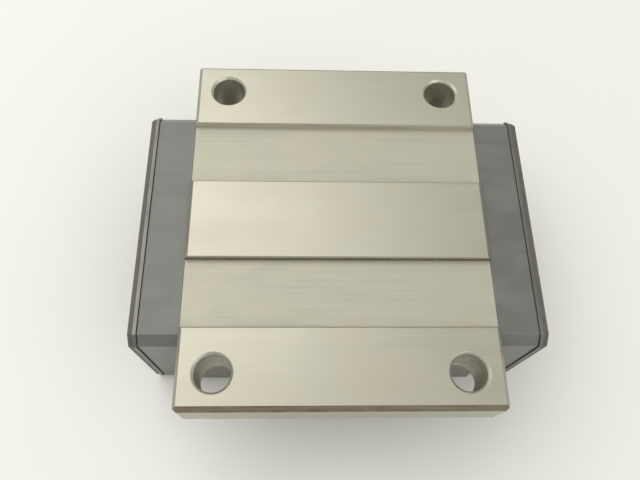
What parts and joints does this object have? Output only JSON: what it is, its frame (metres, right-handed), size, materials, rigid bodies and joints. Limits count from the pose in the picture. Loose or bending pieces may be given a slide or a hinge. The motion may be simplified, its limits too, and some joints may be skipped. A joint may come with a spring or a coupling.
{
  "type": "linear guide carriage",
  "caption": "Flanged profile-rail guide carriage: steel block with ground lands and plain mounting holes, end caps, seals and recirculating ball circuits around an open rail channel.",
  "frame": {"origin": "middle of the carriage's footprint, level with the undersides of the end caps", "axes": "+X along the rail, +Y across the rail, +Z out of the mounting face"},
  "size_m": [0.1052, 0.1, 0.0405],
  "materials": {
    "ground_steel": "ground on the lands, oiled and unground in the strips between them",
    "cap_plastic": "satin moulded",
    "guide_plastic": "moulded",
    "retainer_steel": "rolled",
    "seal_plate_steel": "stamped, phosphated dark",
    "seal_rubber": "moulded nitrile",
    "screw_steel": "black oxide",
    "ball_steel": "polished"
  },
  "bodies": {
    "carriage": {"cap_screws_left": "screw_steel", "cap_screws_right": "screw_steel", "carriage_block": "ground_steel", "end_cap_left": "cap_plastic", "end_cap_right": "cap_plastic", "end_seal_lip_left": "seal_rubber", "end_seal_lip_right": "seal_rubber", "end_seal_plate_left": "seal_plate_steel", "end_seal_plate_right": "seal_plate_steel", "lower_retainer_front": "retainer_steel", "lower_retainer_rear": "retainer_steel", "port_plug_left": "screw_steel", "port_plug_right": "screw_steel", "return_guide_front_lower_left": "guide_plastic", "return_guide_front_lower_right": "guide_plastic", "return_guide_front_upper_left": "guide_plastic", "return_guide_front_upper_right": "guide_plastic", "return_guide_rear_lower_left": "guide_plastic", "return_guide_rear_lower_right": "guide_plastic", "return_guide_rear_upper_left": "guide_plastic", "return_guide_rear_upper_right": "guide_plastic", "side_retainer_front": "retainer_steel", "side_retainer_rear": "retainer_steel", "side_seal_lip_front": "seal_rubber", "side_seal_lip_rear": "seal_rubber", "side_seal_screws_front": "screw_steel", "side_seal_screws_rear": "screw_steel", "side_seal_strip_front": "seal_plate_steel", "side_seal_strip_rear": "seal_plate_steel", "top_retainer": "retainer_steel"},
    "loaded_row_front_lower": {"loaded_balls_front_lower": "ball_steel"},
    "returning_row_front_lower": {"returning_balls_front_lower": "ball_steel"},
    "turning_row_front_lower_left": {"turning_balls_front_lower_left": "ball_steel"},
    "turning_row_front_lower_right": {"turning_balls_front_lower_right": "ball_steel"},
    "loaded_row_front_upper": {"loaded_balls_front_upper": "ball_steel"},
    "returning_row_front_upper": {"returning_balls_front_upper": "ball_steel"},
    "turning_row_front_upper_left": {"turning_balls_front_upper_left": "ball_steel"},
    "turning_row_front_upper_right": {"turning_balls_front_upper_right": "ball_steel"},
    "loaded_row_rear_lower": {"loaded_balls_rear_lower": "ball_steel"},
    "returning_row_rear_lower": {"returning_balls_rear_lower": "ball_steel"},
    "turning_row_rear_lower_left": {"turning_balls_rear_lower_left": "ball_steel"},
    "turning_row_rear_lower_right": {"turning_balls_rear_lower_right": "ball_steel"},
    "loaded_row_rear_upper": {"loaded_balls_rear_upper": "ball_steel"},
    "returning_row_rear_upper": {"returning_balls_rear_upper": "ball_steel"},
    "turning_row_rear_upper_left": {"turning_balls_rear_upper_left": "ball_steel"},
    "turning_row_rear_upper_right": {"turning_balls_rear_upper_right": "ball_steel"}
  },
  "joints": [
    {"name": "loaded_row_front_lower", "type": "slide", "parent": "carriage", "child": "loaded_row_front_lower", "axis": [1, 0, 0], "range_m": [-0.0031, 0.0031]},
    {"name": "returning_row_front_lower", "type": "slide", "parent": "carriage", "child": "returning_row_front_lower", "axis": [1, 0, 0], "range_m": [-0.0031, 0.0031]},
    {"name": "turning_row_front_lower_left", "type": "hinge", "parent": "carriage", "child": "turning_row_front_lower_left", "pos_m": [-0.04, -0.02304, 0.0081], "axis": [0, 0.1392, -0.9903], "range_deg": [-27.4, 27.4]},
    {"name": "turning_row_front_lower_right", "type": "hinge", "parent": "carriage", "child": "turning_row_front_lower_right", "pos_m": [0.04, -0.02304, 0.0081], "axis": [0, 0.1392, -0.9903], "range_deg": [-27.4, 27.4]},
    {"name": "loaded_row_front_upper", "type": "slide", "parent": "carriage", "child": "loaded_row_front_upper", "axis": [1, 0, 0], "range_m": [-0.0031, 0.0031]},
    {"name": "returning_row_front_upper", "type": "slide", "parent": "carriage", "child": "returning_row_front_upper", "axis": [1, 0, 0], "range_m": [-0.0031, 0.0031]},
    {"name": "turning_row_front_upper_left", "type": "hinge", "parent": "carriage", "child": "turning_row_front_upper_left", "pos_m": [-0.04, -0.02143, 0.02415], "axis": [0, -0.6691, -0.7431], "range_deg": [-27.4, 27.4]},
    {"name": "turning_row_front_upper_right", "type": "hinge", "parent": "carriage", "child": "turning_row_front_upper_right", "pos_m": [0.04, -0.02143, 0.02415], "axis": [0, -0.6691, -0.7431], "range_deg": [-27.4, 27.4]},
    {"name": "loaded_row_rear_lower", "type": "slide", "parent": "carriage", "child": "loaded_row_rear_lower", "axis": [1, 0, 0], "range_m": [-0.0031, 0.0031]},
    {"name": "returning_row_rear_lower", "type": "slide", "parent": "carriage", "child": "returning_row_rear_lower", "axis": [1, 0, 0], "range_m": [-0.0031, 0.0031]},
    {"name": "turning_row_rear_lower_left", "type": "hinge", "parent": "carriage", "child": "turning_row_rear_lower_left", "pos_m": [-0.04, 0.02304, 0.0081], "axis": [0, 0.1392, 0.9903], "range_deg": [-27.4, 27.4]},
    {"name": "turning_row_rear_lower_right", "type": "hinge", "parent": "carriage", "child": "turning_row_rear_lower_right", "pos_m": [0.04, 0.02304, 0.0081], "axis": [0, 0.1392, 0.9903], "range_deg": [-27.4, 27.4]},
    {"name": "loaded_row_rear_upper", "type": "slide", "parent": "carriage", "child": "loaded_row_rear_upper", "axis": [1, 0, 0], "range_m": [-0.0031, 0.0031]},
    {"name": "returning_row_rear_upper", "type": "slide", "parent": "carriage", "child": "returning_row_rear_upper", "axis": [1, 0, 0], "range_m": [-0.0031, 0.0031]},
    {"name": "turning_row_rear_upper_left", "type": "hinge", "parent": "carriage", "child": "turning_row_rear_upper_left", "pos_m": [-0.04, 0.02143, 0.02415], "axis": [0, -0.6691, 0.7431], "range_deg": [-27.4, 27.4]},
    {"name": "turning_row_rear_upper_right", "type": "hinge", "parent": "carriage", "child": "turning_row_rear_upper_right", "pos_m": [0.04, 0.02143, 0.02415], "axis": [0, -0.6691, 0.7431], "range_deg": [-27.4, 27.4]}
  ],
  "couplings": [
    {"joint": "returning_row_front_lower", "follows": "loaded_row_front_lower", "ratio": -1},
    {"joint": "turning_row_front_lower_left", "follows": "loaded_row_front_lower", "rad_per_m": 153.85},
    {"joint": "turning_row_front_lower_right", "follows": "loaded_row_front_lower", "rad_per_m": 153.85},
    {"joint": "returning_row_front_upper", "follows": "loaded_row_front_upper", "ratio": -1},
    {"joint": "turning_row_front_upper_left", "follows": "loaded_row_front_upper", "rad_per_m": 153.85},
    {"joint": "turning_row_front_upper_right", "follows": "loaded_row_front_upper", "rad_per_m": 153.85},
    {"joint": "returning_row_rear_lower", "follows": "loaded_row_rear_lower", "ratio": -1},
    {"joint": "turning_row_rear_lower_left", "follows": "loaded_row_rear_lower", "rad_per_m": 153.85},
    {"joint": "turning_row_rear_lower_right", "follows": "loaded_row_rear_lower", "rad_per_m": 153.85},
    {"joint": "returning_row_rear_upper", "follows": "loaded_row_rear_upper", "ratio": -1},
    {"joint": "turning_row_rear_upper_left", "follows": "loaded_row_rear_upper", "rad_per_m": 153.85},
    {"joint": "turning_row_rear_upper_right", "follows": "loaded_row_rear_upper", "rad_per_m": 153.85}
  ]
}
